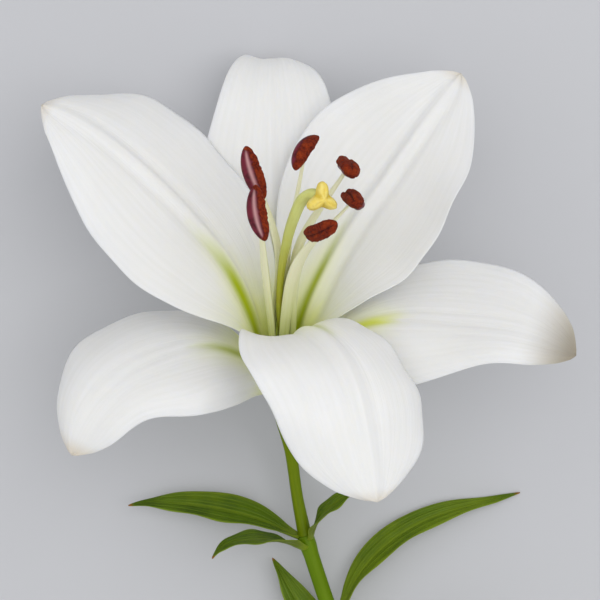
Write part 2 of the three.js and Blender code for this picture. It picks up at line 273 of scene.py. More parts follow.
def ramp(values, share):        # the smooth value at a share of the way along equally spaced values
    last = len(values) - 1
    place = min(max(share, 0), 1) * last
    i = min(int(place), last - 1)
    f = place - i
    b, c = values[i], values[i + 1]
    a = values[i - 1] if i > 0 else 2 * b - c
    d = values[i + 2] if i + 2 <= last else 2 * c - b
    return b + 0.5 * f * (c - a + f * (2 * a - 5 * b + 4 * c - d + f * (3 * b - a - 3 * c + d)))


def fade(value, low, high):     # 0 below low, 1 above high, smooth between
    t = min(max((value - low) / (high - low), 0), 1)
    return t * t * (3 - 2 * t)


def hump(distance, width):      # 1 in the middle, falling off over the width
    return math.exp(-(distance / width) ** 2)


# Which way the blade runs, lies across and faces at a share of its length
def heading(blade, share):
    lean = math.radians(ramp(blade["lean"], share))
    turn = math.radians(blade["azimuth"] + ramp(blade["swerve"], share))
    across = Vector((-math.sin(turn), math.cos(turn), 0))
    along = Vector((math.cos(turn) * math.sin(lean), math.sin(turn) * math.sin(lean), math.cos(lean)))
    into = along.cross(across)
    roll = Matrix.Rotation(math.radians(ramp(blade["roll"], share)), 3, along)
    return along, roll @ across, roll @ into


def midrib(blade, steps=200):
    turn = math.radians(blade["azimuth"])
    spot = Vector((math.cos(turn) * blade["radius"], math.sin(turn) * blade["radius"], blade["height"]))
    spots = [spot.copy()]
    for step in range(steps):
        spot = spot + heading(blade, (step + 0.5) / steps)[0] * blade["length"] / steps
        spots.append(spot.copy())
    return spots


thinnestHalf = 0.08        # half the breadth of a blade's very tip, in mm
flatBend = 0.001           # a cup below this, in radians, counts as flat
heelLength = 0.1           # the share of a blade's length that its heel takes


# A flat sheet, doubled into a thin closed solid, then bent along its midrib and cupped across it
def growBlade(blade, relief, wall):
    bm = bmesh.new()
    bmesh.ops.create_grid(bm, x_segments=blade["columns"], y_segments=blade["rows"], size=1.0)
    made = bmesh.ops.extrude_face_region(bm, geom=bm.faces[:])
    for corner in made["geom"]:
        if isinstance(corner, bmesh.types.BMVert):
            corner.co.z = 1
    placeLayer = bm.verts.layers.float_vector.new("blade")
    ribLayer = bm.verts.layers.float.new("ribDistance")
    rib = midrib(blade)
    turn = math.radians(blade["azimuth"])
    outward = Vector((math.cos(turn), math.sin(turn), 0))
    rows = {}
    for corner in bm.verts:
        u, v, side = corner.co
        share = (v + 1) / 2
        key = round(share, 5)
        if key not in rows:
            step = share * (len(rib) - 1)
            low = min(int(step), len(rib) - 2)
            spot = rib[low].lerp(rib[low + 1], step - low)
            rows[key] = (spot, heading(blade, share))
        spot, (along, across, into) = rows[key]
        hand = "Left" if u > 0 else "Right"
        half = 0.5 * blade["width"] * ramp(blade["outline"], share) * ramp(blade["full" + hand], share)
        rounding = math.sqrt(max(0.0, 1 - (max(0.0, share - blade["tipFrom"]) / (1 - blade["tipFrom"])) ** 2))
        half = max(half * rounding, thinnestHalf)
        bend = math.radians(ramp(blade["cup" + hand], share))
        turned = bend * abs(u)
        curved = abs(bend) > flatBend
        aside = half * math.sin(turned) / bend if curved else half * abs(u)
        rise = half * (1 - math.cos(turned)) / bend if curved else 0
        lift = relief(blade, u, share, half) + (side - 0.5) * wall(u, share)
        sign = 1 if u > 0 else -1
        place = spot + across * sign * (aside - lift * math.sin(turned)) + into * (rise + lift * math.cos(turned))
        heel = max(0.0, 1 - share / heelLength) ** 2
        corner.co = place - outward * heel * blade["heel"]
        corner[placeLayer] = (u, share, side)
        corner[ribLayer] = u * half
    return bm


# Points on a smooth curve through the given ones, with the length up to each
def smoothRun(points, pieces=24):
    knots = [Vector(p) for p in points]
    knots = [knots[0] * 2 - knots[1]] + knots + [knots[-1] * 2 - knots[-2]]
    spots = []
    for a, b, c, d in zip(knots, knots[1:], knots[2:], knots[3:]):
        first, middle, last = (max((q - p).length, 1e-6) ** 0.5 for p, q in ((a, b), (b, c), (c, d)))
        leave = ((b - a) / first - (c - a) / (first + middle) + (c - b) / middle) * middle
        arrive = ((c - b) / middle - (d - b) / (middle + last) + (d - c) / last) * middle
        for step in range(pieces):
            t = step / pieces
            spots.append(b * (2 * t ** 3 - 3 * t ** 2 + 1) + leave * (t ** 3 - 2 * t ** 2 + t)
                         + c * (3 * t ** 2 - 2 * t ** 3) + arrive * (t ** 3 - t ** 2))
    spots.append(knots[-2].copy())
    lengths = [0.0]
    for p, q in zip(spots, spots[1:]):
        lengths.append(lengths[-1] + (q - p).length)
    return spots, lengths


# The place and the direction at a share of a run's length
def alongRun(run, share):
    spots, lengths = run
    target = min(max(share, 0), 1) * lengths[-1]
    i = next((k for k in range(1, len(lengths)) if lengths[k] >= target), len(lengths) - 1)
    gap = lengths[i] - lengths[i - 1] or 1.0
    before, after = spots[max(i - 2, 0)], spots[min(i + 1, len(spots) - 1)]
    return spots[i - 1].lerp(spots[i], (target - lengths[i - 1]) / gap), (after - before).normalized()


flatTop = 0.12        # how broad the flat top of a dome is


# A cylinder with many rings, bent along the run; its ends are domed where rod says so
def growRod(run, rod):
    bm = bmesh.new()
    bmesh.ops.create_cone(bm, cap_ends=True, cap_tris=False, segments=rod["sides"], radius1=1, radius2=1, depth=2)
    upright = [e for e in bm.edges if abs(e.verts[0].co.z - e.verts[1].co.z) > 1]
    bmesh.ops.subdivide_edges(bm, edges=upright, cuts=rod["rings"], use_grid_fill=True)
    placeLayer = bm.verts.layers.float_vector.new("rod")
    shareLayer = bm.verts.layers.float.new("share")
    total = run[1][-1]
    breadth = Vector(rod.get("breadth", (1, 0, 0)))
    radius, flat = rod["radius"], rod.get("flat", 1)
    swell = rod.get("swell", lambda angle, share: 1)
    rows = {}
    for corner in bm.verts:
        key = round(corner.co.z, 5)
        if key not in rows:
            share = 0.5 + 0.5 * math.sin(0.5 * math.pi * key)
            spot, along = alongRun(run, share)
            wide = (breadth - along * breadth.dot(along)).normalized()
            dome = 1.0
            ends = ((share * total, rod.get("domeStart", 0)), ((1 - share) * total, rod.get("domeEnd", 0)))
            for reach, length in ends:
                if length and reach < length:
                    dome *= max(flatTop, math.sqrt(max(0.0, 1 - (1 - reach / length) ** 2)))
            rows[key] = (spot, wide, wide.cross(along), radius * ramp(rod["widths"], share) * dome, share)
        spot, wide, deep, reach, share = rows[key]
        angle = math.atan2(corner.co.y, corner.co.x)
        grown = reach * swell(angle, share)
        corner[placeLayer] = (math.cos(angle), math.sin(angle), share * total / radius)
        corner[shareLayer] = share
        corner.co = spot + wide * grown * math.cos(angle) + deep * grown * flat * math.sin(angle)
    return bm


# Lays the piece down where the imported one is, hangs it on the root body and hides the imported one
def finishPiece(bm, node, place, materials):
    bm.transform(place)
    bmesh.ops.recalc_face_normals(bm, faces=bm.faces[:])
    for face in bm.faces:
        face.smooth = True
    mesh = bpy.data.meshes.new("fine_" + node)
    bm.to_mesh(mesh)
    bm.free()
    for material in materials:
        mesh.materials.append(material)
    piece = bpy.data.objects.new("fine_" + node, mesh)
    scene.collection.objects.link(piece)
    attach(piece, "root")
    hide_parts(node)


def rodSkin(look):
    material, tree, shader = newSkin(look)
    rod = readVector(tree, "rod")
    share = readValue(tree, "share")
    here = objectPlace(tree)
    drawn = (look["lines"], look["lines"], look["lineLength"])
    stretched = addNode(tree, "VectorMath", {0: rod, 1: drawn}, operation="MULTIPLY").outputs[0]
    lines = blotches(tree, stretched, 1.0, 0.35, 0.65)
    blotch = blotches(tree, here, look["blotchScale"], 0.4, 0.75)
    colour = blendColour(tree, slide(tree, share, look["from"], look["to"]), look["foot"], look["head"])
    colour = tint(tree, colour, lines, look["lineShare"], look["lineTint"])
    colour = tint(tree, colour, blotch, look["blotchShare"], look["blotch"])
    addDulling(tree, shader, blotch, look, 0.0, 0.12)
    skin = grainHeight(tree, here, look["grainScale"], 1.0)
    height = plus(tree, times(tree, skin, look["grainHeight"]), times(tree, lines, look["lineHeight"]))
    dress(tree, shader, colour, height, look)
    return material


rodLook = {"roughness": 0.45, "grainScale": 2200.0, "grainHeight": 0.15, "lineHeight": 0.5,
           "relief": 0.4, "reliefDepth": 0.0002}
stemLook = {
    **rodLook, "name": "stemSkin", "gloss": 0.12, "flesh": 0.05,
    "foot": paint(92, 122, 2), "head": paint(84, 112, 2), "from": 0.2, "to": 0.9,
    "lines": 3.0, "lineLength": 0.08, "lineShare": 0.3, "lineTint": paint(116, 140, 12),
    "blotchScale": 60.0, "blotchShare": 0.25, "blotch": paint(74, 98, 2),
}
stemSkin = rodSkin(stemLook)
pedicelSkin = rodSkin({
    **stemLook, "name": "pedicelSkin", "foot": paint(106, 128, 4), "head": paint(118, 138, 8),
    "lineTint": paint(134, 148, 16), "blotch": paint(92, 114, 4),
})
filamentSkin = rodSkin({
    **rodLook, "name": "filamentSkin", "gloss": 0.35, "flesh": 0.3,
    "foot": paint(196, 204, 108), "head": paint(228, 226, 192), "from": 0.15, "to": 0.75,
    "lines": 2.0, "lineLength": 0.02, "lineShare": 0.25, "lineTint": paint(232, 236, 214),
    "blotchScale": 120.0, "blotchShare": 0.1, "blotch": paint(206, 213, 150),
})
styleSkin = rodSkin({
    **rodLook, "name": "styleSkin", "roughness": 0.4, "gloss": 0.35, "flesh": 0.2,
    "foot": paint(160, 164, 34), "head": paint(208, 214, 138), "from": 0.4, "to": 0.95,
    "lines": 2.4, "lineLength": 0.03, "lineShare": 0.3, "lineTint": paint(192, 196, 84),
    "blotchScale": 140.0, "blotchShare": 0.35, "blotch": paint(170, 152, 44),
})

# Six grooves run up the ovary, and its foot reaches a little way down to the receptacle
ovary = {"length": 20, "radius": 1.9, "widths": [0.85, 1, 1, 0.7], "sides": 36, "rings": 40, "domeEnd": 1.2,
         "groove": 0.1, "footDrop": 0.4}
ovary["swell"] = lambda angle, share: 1 - ovary["groove"] * (0.5 + 0.5 * math.cos(6 * angle)) ** 3
ovaryTop = fit + ovary["length"]
ovaryRun = smoothRun([(0, 0, fit - ovary["footDrop"]), (0, 0, 0.5 * ovaryTop), (0, 0, ovaryTop)])
finishPiece(growRod(ovaryRun, ovary), "ovary", flowerPlace, [styleSkin])

# The style is three-sided and flares at its head. Its bends are in shares of its length, from its foot.
style = {"length": 66, "radius": 1.6, "widths": [0.6, 0.6, 0.74, 1.0, 1.2], "sides": 30, "rings": 110,
         "breadth": (0, 1, 0), "domeEnd": 1.0, "edges": 0.05, "flare": 0.2, "flareFrom": 0.94,
         "bends": [(0, 0, -0.02), (-0.03, -0.015, 0.232), (-0.032, -0.015, 0.52), (-0.014, -0.012, 0.717),
                   (0.009, -0.006, 0.853), (0.042, 0.012, 0.952), (0.079, 0.009, 0.989), (0.117, -0.012, 0.995)]}


def styleSwell(angle, share):
    return 1 + style["edges"] * math.cos(3 * angle) + style["flare"] * fade(share, style["flareFrom"], 1.0)


styleFoot = Vector((0, 0, ovaryTop + fit))
stylePoints = [styleFoot + Vector(bend) * style["length"] for bend in style["bends"]]
styleRod = growRod(smoothRun(stylePoints), {**style, "swell": styleSwell})
finishPiece(styleRod, "style", flowerPlace, [styleSkin])


def stigmaSkin(look):
    material, tree, shader = newSkin(look)
    here = objectPlace(tree)
    deep = readValue(tree, "depth")
    spots = blotches(tree, here, look["spotScale"], 0.35, 0.7)
    colour = tint(tree, look["yellow"], spots, look["spotShare"], look["pale"])
    # The darker amber in the valleys and creases and on the back is painted shade
    colour = blendColour(tree, deep, colour, look["shadeAmber"])
    dress(tree, shader, colour, grainHeight(tree, here, look["knobScale"], 1.4), look)
    return material


# A flattened ball, drawn out into three lobes with a valley between each two and a crease down each.
# lobe is how far a lobe reaches and waist how far the valleys do, in shares of the radius.
stigma = {
    "name": "stigmaSkin", "radius": 4.8, "flat": 0.4, "turn": 30, "faces": (0.35, -0.75, 0.56),
    "waist": 0.52, "lobe": 0.56, "valleyDepth": 0.3, "creaseDepth": 0.1, "sunkIn": 0.25,
    # the amber is the colour of the painted shade in the valleys and creases; backShade is how much of it the back
    # gets
    "yellow": paint(232, 208, 96), "pale": paint(240, 226, 140), "shadeAmber": paint(206, 178, 48),
    "roughness": 0.55, "gloss": 0.35, "flesh": 0.25, "fleshDepth": 0.001, "backShade": 0.4,
    "spotScale": 700.0, "spotShare": 0.6, "knobScale": 2600.0, "relief": 0.6, "reliefDepth": 0.0002
}


def growStigma(look):
    bm = bmesh.new()
    bmesh.ops.create_uvsphere(bm, u_segments=72, v_segments=40, radius=look["radius"])
    valleyShadeLayer = bm.verts.layers.float.new("depth")
    bm.transform(Matrix.Rotation(math.radians(-90), 4, "X"))
    for corner in bm.verts:
        x, y, z = corner.co
        turn = math.atan2(z, x)
        inLobe = 0.5 + 0.5 * math.cos(3 * turn)
        ring = math.hypot(x, z) / look["radius"]
        valley = hump(math.cos(1.5 * turn), 0.5) * fade(ring, 0.15, 0.7)
        crease = hump(math.sin(1.5 * turn), 0.12) * fade(ring, 0.1, 0.3) * (1 - fade(ring, 0.7, 0.95))
        puff = 1.15 + 0.3 * fade(ring, 0.3, 0.8) * inLobe
        knob = 1 + 0.06 * noise.noise(corner.co * 1.6) + 0.03 * noise.noise(corner.co * 4)
        reach = (look["waist"] + look["lobe"] * inLobe ** 1.4) * knob
        top = 1 - look["valleyDepth"] * valley - look["creaseDepth"] * crease if y > 0 else 1
        corner.co = Vector((x * reach, y * look["flat"] * puff * top * knob, z * reach))
        # painted shade: strong in the valleys, lighter in the creases, and a flat share on the back
        corner[valleyShadeLayer] = min(1, 0.9 * valley + 0.25 * crease) if y > 0 else look["backShade"]
    return bm


facing = Vector(stigma["faces"]).normalized()
reach = stigma["flat"] * stigma["radius"] + stigma["sunkIn"] * style["radius"]
turned = (Vector((0, 1, 0)).rotation_difference(facing).to_matrix()
          @ Matrix.Rotation(math.radians(stigma["turn"]), 3, "Y"))
stigmaPlace = flowerPlace @ Matrix.Translation(stylePoints[-1] + facing * reach) @ turned.to_4x4()
finishPiece(growStigma(stigma), "stigma", stigmaPlace, [stigmaSkin(stigma)])
print("pistil grown")


def pollenSkin(look):
    material, tree, shader = newSkin(look)
    here = objectPlace(tree)
    dusty = readValue(tree, "pollen")
    streak = readValue(tree, "streak")
    crease = readValue(tree, "crease")
    dots = blotches(tree, here, look["dotScale"], 0.35, 0.65)
    clumps = blotches(tree, here, look["clumpScale"], 0.4, 0.7)
    pollen = blendColour(tree, dots, look["pollen"], look["pollenDark"])
    pollen = tint(tree, pollen, clumps, look["clumpShare"], look["pollenBright"])
    wall = blendColour(tree, clumps, look["wall"], look["wallDark"])
    # The pale streak down the wall is a painted highlight
    wall = blendColour(tree, streak, wall, look["streak"])
    colour = blendColour(tree, dusty, wall, pollen)
    # The furrow and the seam are painted dark, as painted shade in those grooves
    colour = blendColour(tree, crease, colour, look["crease"])
    addDulling(tree, shader, dusty, look, -0.22, 0.25)
    specks = grainHeight(tree, here, look["speckScale"], 1.2)
    height = times(tree, specks, slide(tree, dusty, 0.0, 1.0, look["wallRelief"], 1.0))
    dress(tree, shader, colour, height, look)
    return material


anther = {
    "name": "pollenSkin", "length": 17, "radius": 2.5, "flat": 0.75, "roughness": 0.6, "gloss": 0.2,
    "pollen": paint(122, 38, 8), "pollenDark": paint(82, 18, 4), "pollenBright": paint(168, 66, 14),
    # streak is the colour of the painted highlight down the wall
    "wall": paint(108, 28, 46), "wallDark": paint(70, 12, 22), "streak": paint(196, 150, 150),
    # crease is the near-black of the painted shade in the furrow and the seam
    "crease": paint(48, 10, 10), "dotScale": 1500.0, "clumpScale": 420.0, "clumpShare": 0.35,
    "speckScale": 3800.0, "wallRelief": 0.12, "relief": 0.7, "reliefDepth": 0.00022,
    "furrow": 0.3, "lips": 0.12, "seam": 0.1, "ridge": 0.06, "arch": 0.9, "crumble": 0.12,
}
antherSkin = pollenSkin(anther)
filament = {
    "length": 84, "radius": 1.2, "flat": 0.6, "thickness": 0.5, "widths": [1.1, 1.3, 1.35, 0.5],
    "sides": 24, "rings": 90, "domeEnd": 0.8, "bendHeight": 0.7, "collarSpread": 1.2, "tipOverlap": 1.1,
}
filamentDepth = filament["thickness"] * filament["radius"]
filamentRing = ovary["radius"] + fit + filamentDepth
# Where each stamen bends and ends is in shares of the filament's length. open turns the burst face, in degrees,
# wide and blunt shape the anther, sway curves it, and shine sets a painted highlight, a pale streak down its back.
turnedAway = {"faces": (-0.3, -0.65, 0.7), "open": 207, "wide": 1.15, "blunt": 2.2, "paintedHighlight": 0.8}
stamens = [
    {"name": "upper_left", "azimuth": 158, "bend": (-0.043, 0.043), "at": (-0.148, 0.1, 1.018),
     "lies": (0.38, -0.67, -0.63), "sway": 0.5, **turnedAway},
    {"name": "lower_left", "azimuth": 218, "bend": (-0.087, -0.016), "at": (-0.119, -0.067, 0.988),
     "lies": (0.24, -0.71, -0.66), "sway": 0.9, **turnedAway},
    {"name": "top", "azimuth": 98, "bend": (-0.005, 0.071), "at": (0.03, 0.206, 1.048),
     "lies": (0.36, 0.93, -0.02), "faces": (0, 0, 1), "widths": [1, 1, 0.8, 0.4],
     "open": 100, "wide": 1.05, "blunt": 2.4, "sway": -1.1},
    {"name": "upper_right", "azimuth": 38, "bend": (0.031, 0.052), "at": (0.188, 0.149, 1.036),
     "lies": (0.14, -0.86, 0.6), "faces": (0.5, 0.5, 0.7),
     "open": 10, "wide": 1.25, "blunt": 4.5, "sway": 0.3},
    {"name": "right", "azimuth": -22, "bend": (0.046, 0.005), "at": (0.213, 0.024, 1),
     "lies": (0.2, -0.82, 0.62), "faces": (0.6, 0.4, 0.7),
     "open": 75, "wide": 1.25, "blunt": 3.0, "sway": -0.4},
    {"name": "bottom", "azimuth": -82, "bend": (0.022, -0.049), "at": (0.1, -0.144, 1),
     "lies": (0.5, -0.4, 0.74), "faces": (0, -0.8, 0.6),
     "open": 0, "wide": 1.0, "blunt": 3.6, "sway": 0.4},
]


def growAnther(stamen):
    bm = bmesh.new()
    bmesh.ops.create_uvsphere(bm, u_segments=56, v_segments=64, radius=1.0)
    bm.transform(Matrix.Rotation(math.radians(-90), 4, "X"))
    pollenLayer = bm.verts.layers.float.new("pollen")
    highlightLayer = bm.verts.layers.float.new("streak")
    furrowShadeLayer = bm.verts.layers.float.new("crease")
    radius = anther["radius"] * stamen["wide"]
    seed = 10 * stamen["azimuth"]
    for corner in bm.verts:
        x, y, z = corner.co
        angle = math.atan2(x, z) - math.radians(stamen["open"])
        away = abs((angle + math.pi) % (2 * math.pi) - math.pi)        # 0 in the middle of the open face
        along = 2 / math.pi * math.asin(max(-1, min(1, y)))
        girth = (1 - abs(along) ** stamen["blunt"]) ** 0.62
        furrow = anther["furrow"] * hump(away, 0.22) * fade(girth, 0.2, 0.7)
        lips = anther["lips"] * hump(away - 0.9, 0.4)
        seam = anther["seam"] * hump(away - 2.1, 0.14)
        ridge = anther["ridge"] * hump(math.pi - away, 0.3)
        reach = girth * (1 - furrow + lips - seam - ridge)
        crumbs = anther["crumble"] * noise.noise(Vector((3 * x, 8 * along, 3 * z + seed))) * (1 - fade(away, 1.7, 2.2))
        across = Vector((x, 0, z)).normalized() if girth > 0.01 else Vector((0, 0, 0))
        side = across * reach * (1 + crumbs)
        corner.co = Vector((side.x * radius + stamen["sway"] * (0.5 - along ** 2), along * 0.5 * anther["length"],
                            side.z * radius * anther["flat"] - anther["arch"] * along ** 2))
        dust = away + 0.3 * noise.noise(Vector((4 * x, 9 * along, seed))) - 1.2 * fade(abs(along), 0.75, 0.95)
        corner[pollenLayer] = 1 - fade(dust, 2.0, 2.2)
        # a painted highlight, a pale streak down the middle of the back
        corner[highlightLayer] = stamen.get("paintedHighlight", 0) * hump(math.atan2(x, z) + 0.1, 0.2) * fade(girth, 0.3, 0.8)
        # painted shade in the furrow of the open face and along the seam
        corner[furrowShadeLayer] = min(1, 0.8 * hump(away, 0.1) * fade(girth, 0.2, 0.6) + 0.4 * hump(away - 2.1, 0.09))
    return bm


for stamen in stamens:
    turn = math.radians(stamen["azimuth"])
    lies = Vector(stamen["lies"]).normalized()
    faces = Vector(stamen["faces"])
    faces = (faces - lies * faces.dot(lies)).normalized()
    middle = Vector(stamen["at"]) * filament["length"]
    basis = Matrix((lies.cross(faces), lies, faces)).transposed().to_4x4()
    name = stamen["name"]
    antherPlace = flowerPlace @ Matrix.Translation(middle) @ basis
    finishPiece(growAnther(stamen), "anther_" + name, antherPlace, [antherSkin])
    foot = Vector((math.cos(turn) * filamentRing, math.sin(turn) * filamentRing, fit - 0.5))
    spread = filament["collarSpread"]
    collar = Vector((foot.x * spread - 0.5 * filament["radius"], foot.y * spread, ovaryTop + filament["radius"]))
    tip = middle - faces * (anther["radius"] * anther["flat"] + 2 * fit)
    bend = Vector((*(filament["length"] * b for b in stamen["bend"]), filament["bendHeight"] * tip.z))
    run = smoothRun([foot, collar, bend, tip + faces * filament["tipOverlap"]])
    rod = {**filament, "widths": stamen.get("widths", filament["widths"]),
           "breadth": (-math.sin(turn), math.cos(turn), 0)}
    finishPiece(growRod(run, rod), "filament_" + name, flowerPlace, [filamentSkin])
print("stamens grown:", len(stamens))


def tepalSkin(look):
    material, tree, shader = newSkin(look)
    blade = readVector(tree, "blade")
    distance = readValue(tree, "ribDistance")
    along, side = splitVector(tree, blade)[1:3]
    here = objectPlace(tree)
    pale = blotches(tree, here, look["blotchScale"], 0.35, 0.7)
    colour = tint(tree, look["white"], pale, look["blotchShare"], look["shade"])
    drawn = addNode(tree, "VectorMath", {0: blade, 1: look["silkDrawn"]}, operation="MULTIPLY").outputs[0]
    silk = blotches(tree, drawn, look["silkScale"], 0.3, 0.7)
    fineSilk = blotches(tree, drawn, look["fineSilkScale"], 0.3, 0.7)
    colour = tint(tree, colour, silk, look["silkShare"], look["shade"])
    vein = veinLines(tree, blade, look["veinCount"], 1.6, 3.0)
    colour = tint(tree, colour, vein, look["veinShare"], look["veinTint"])
    # The throat is cream and then green, deepest at the foot of the tepal; both colours are partly painted light, kept
    # extra light against the shade deep in the flower
    ragged = blotches(tree, blade, look["raggedScale"], 0.2, 0.8)
    reach = plus(tree, along, times(tree, minus(tree, ragged, 0.5), look["raggedReach"]))
    colour = tint(tree, colour, slide(tree, reach, look["creamEnd"], 0.1), look["creamShare"], look["cream"])
    throat = times(tree, slide(tree, reach, look["throatEnd"], 0.08), slide(tree, side, 0.0, 1.0, 0.6, 1.0))
    colour = tint(tree, colour, throat, look["throatShare"], look["throat"])
    # A streak in the groove of the midrib and a haze round it, on the inner face only
    streak, haze = (ribLine(tree, distance, look["streakShift"], reach, width, look["streakFrom"], look["streakEnd"])
                    for width in (look["streakWidth"], look["hazeWidth"] * look["streakWidth"]))
    colour = tint(tree, colour, times(tree, haze, side), look["hazeShare"], look["cream"])
    colour = tint(tree, colour, times(tree, streak, side), look["streakShare"], look["streak"])
    # The back has a greenish keel
    keel = ribLine(tree, distance, 0.0, along, look["keelWidth"], 0.1, 0.95)
    colour = tint(tree, colour, times(tree, keel, minus(tree, 1.0, side)), look["keelShare"], look["keel"])
    # The tip is a little brown and horny; on the outer tepals, and most on the right one, it is wider and darker as
    # painted shade where the tip turns away from the light
    colour = tint(tree, colour, slide(tree, along, look["tipFrom"], 1.0), look["tipShare"], look["tip"])
    addDulling(tree, shader, pale, look, -0.06, 0.08)
    skin = grainHeight(tree, here, look["grainScale"], 1.5)
    drawnHeight = plus(tree, times(tree, silk, look["silkHeight"]), times(tree, fineSilk, look["fineSilkHeight"]))
    raised = plus(tree, times(tree, skin, look["grainHeight"]), drawnHeight)
    dress(tree, shader, colour, minus(tree, raised, times(tree, vein, look["veinDepth"])), look)
    return material


tepalLook = {
    "white": paint(230, 230, 230), "shade": paint(224, 224, 222), "veinTint": paint(216, 217, 212),
    # cream and throat are the real throat colours, partly painted light: kept extra light against the shade deep in
    # the flower
    "cream": paint(240, 243, 178), "throat": paint(230, 238, 104), "streak": paint(166, 180, 0),
    "keel": paint(200, 212, 150), "tip": paint(188, 168, 134), "keelWidth": 4.0,
    "roughness": 0.52, "gloss": 0.25, "flesh": 0.5, "fleshDepth": 0.0012, "sheen": 0.08,
    "blotchScale": 45.0, "blotchShare": 0.5, "silkDrawn": (1.0, 0.12, 1.0), "silkScale": 16.0,
    "fineSilkScale": 60.0, "silkShare": 0.5, "veinShare": 0.14, "raggedScale": 7.0, "raggedReach": 0.05,
    "throatShare": 0.85, "hazeWidth": 3.0, "hazeShare": 0.45, "grainScale": 1500.0, "grainHeight": 0.12,
    "silkHeight": 0.5, "fineSilkHeight": 0.22, "veinDepth": 0.14, "relief": 0.3, "reliefDepth": 0.00025,
}
innerSkin = tepalSkin({
    **tepalLook, "name": "innerTepalSkin", "veinCount": 12.0, "creamEnd": 0.42, "creamShare": 0.75, "throatEnd": 0.3,
    "streakWidth": 3.0, "streakShift": 2.0, "streakFrom": 0.32, "streakEnd": 0.56, "streakShare": 1.0,
    "keelShare": 0.35, "tipFrom": 0.96, "tipShare": 0.35,
})
outerLook = {
    **tepalLook, "name": "outerTepalSkin", "veinCount": 9.0, "creamEnd": 0.38, "creamShare": 0.7, "throatEnd": 0.28,
    "streakWidth": 3.8, "streakShift": 0.5, "streakFrom": 0.28, "streakEnd": 0.5, "streakShare": 0.85,
    # the outer tepals' wider, stronger tip is partly painted shade where the tips turn away from the light
    "keelShare": 0.55, "tipFrom": 0.93, "tipShare": 0.5,
}
outerSkin = tepalSkin(outerLook)
# The right tepal's skin: a wide grey-brown tip, brown in part and mostly painted shade where the tip curls away from
# the light, and a streak painted lighter against the shade of the tepals over it
brownAndShadedTipSkin = tepalSkin({
    **outerLook, "name": "brownAndShadedTipSkin", "streakFrom": 0.42, "streakEnd": 0.54, "streakShare": 0.9,
    "tipFrom": 0.84, "tipShare": 0.9, "tip": paint(140, 131, 112), "streak": paint(214, 222, 60),
})

# Both whorls stand in rings round the stamens' feet
whorls = {"length": 122, "wall": 0.9, "room": 0.6, "columns": 72, "rows": 150,
          "narrowHalf": 12, "swell": 0.9, "tipThinning": 0.45}
innerRing = filamentRing + filamentDepth + fit + whorls["room"] + 0.5 * whorls["wall"]
outerRing = innerRing + whorls["wall"] + 2 * fit

inner = {
    "radius": innerRing, "width": 60, "skin": innerSkin, "tipFrom": 0.955,
    "outline": [0.115, 0.2, 0.42, 0.76, 0.97, 1.0, 0.88, 0.6, 0.14],
    "ribHeight": 0.7, "ribWidth": 1.7, "grooveDepth": 0.6, "grooveAt": 3.5, "grooveWidth": 1.8,
    "ruffle": 0.9, "waves": 2.6,
}
outer = {
    "radius": outerRing, "width": 50, "skin": outerSkin, "tipFrom": 0.955,
    "outline": [0.17, 0.24, 0.42, 0.71, 0.95, 1.0, 0.9, 0.62, 0.14],
    "ribHeight": -0.35, "ribWidth": 1.3, "grooveDepth": 0.22, "grooveAt": 4.2, "grooveWidth": 1.2,
    "ruffle": 0.7, "waves": 2.2,
}
straight = [0, 0]
tepals = [
    {**inner, "node": "inner_tepal_upper_left", "azimuth": 158, "share": 1.03, "seed": 3, "crease": 1.2,
     "lean": [5, 22, 50, 58, 85], "swerve": [0, -4, -4, 0, 8],
     "cupLeft": [45, 40, -5, -25, -30], "fullLeft": [1, 1.08, 1.06, 1.0, 1],
     "cupRight": [45, 45, 12, -25, -50], "fullRight": [1, 0.82, 0.8, 1.18, 1.8]},
    {**inner, "node": "inner_tepal_upper_right", "azimuth": 48, "share": 0.96, "seed": 11, "crease": 1.7,
     "lean": [5, 22, 46, 50, 55], "swerve": straight,
     "cupLeft": [45, 45, 30, 20, 10], "fullLeft": [1, 0.82, 0.95, 1.08, 1],
     "cupRight": [45, 45, 30, 20, 10], "fullRight": [1, 0.9, 0.99, 1.0, 1.0]},
    {**inner, "node": "inner_tepal_bottom", "azimuth": -80, "share": 0.96, "seed": 23, "crease": 0.9,
     "lean": [5, 16, 63, 118, 140], "swerve": [0, 20, 21, 10, 6],
     "cupLeft": [45, 30, -30, -50, -45], "fullLeft": [1, 0.62, 0.56, 0.9, 1.2],
     "cupRight": [45, 60, 20, -20, -30], "fullRight": [1, 0.84, 0.94, 0.95, 1.5]},
    {**outer, "node": "outer_tepal_top", "azimuth": 98, "share": 1.02, "seed": 31, "crease": 0.8,
     "lean": [5, 28, 52, 70, 165], "swerve": [0, 0, 0, -2, -6],
     "cupLeft": [38, 20, 0, 0, 0], "fullLeft": [1, 1, 1, 0.78, 0.8],
     "cupRight": [38, 20, -5, -10, 0], "fullRight": [1, 0.9, 0.8, 0.75, 0.8]},
    {**outer, "node": "outer_tepal_right", "azimuth": -20, "share": 0.92, "seed": 43, "crease": 0.6,
     "skin": brownAndShadedTipSkin, "lean": [5, 30, 72, 78, 115], "swerve": [0, 6, 8, 7, 0],
     "cupLeft": [38, 25, 10, 10, 10], "fullLeft": [1, 0.85, 0.97, 1.09, 1.1],
     "cupRight": [38, 15, -28, -15, -20], "fullRight": [1, 1, 0.95, 0.68, 0.8]},
    {**outer, "node": "outer_tepal_lower_left", "azimuth": 222, "share": 0.8, "seed": 57, "crease": 0.7,
     "lean": [5, 40, 88, 110, 160], "swerve": [0, -18, -15, 2, 24],
     "cupLeft": [38, 25, -10, -20, -20], "fullLeft": [1, 1.3, 0.98, 0.68, 1], "rolled": [0, 5, 5, 1, 0, 0],
     "cupRight": [38, 20, -25, -38, -40], "fullRight": [1, 0.9, 1.02, 1.12, 1]},
]


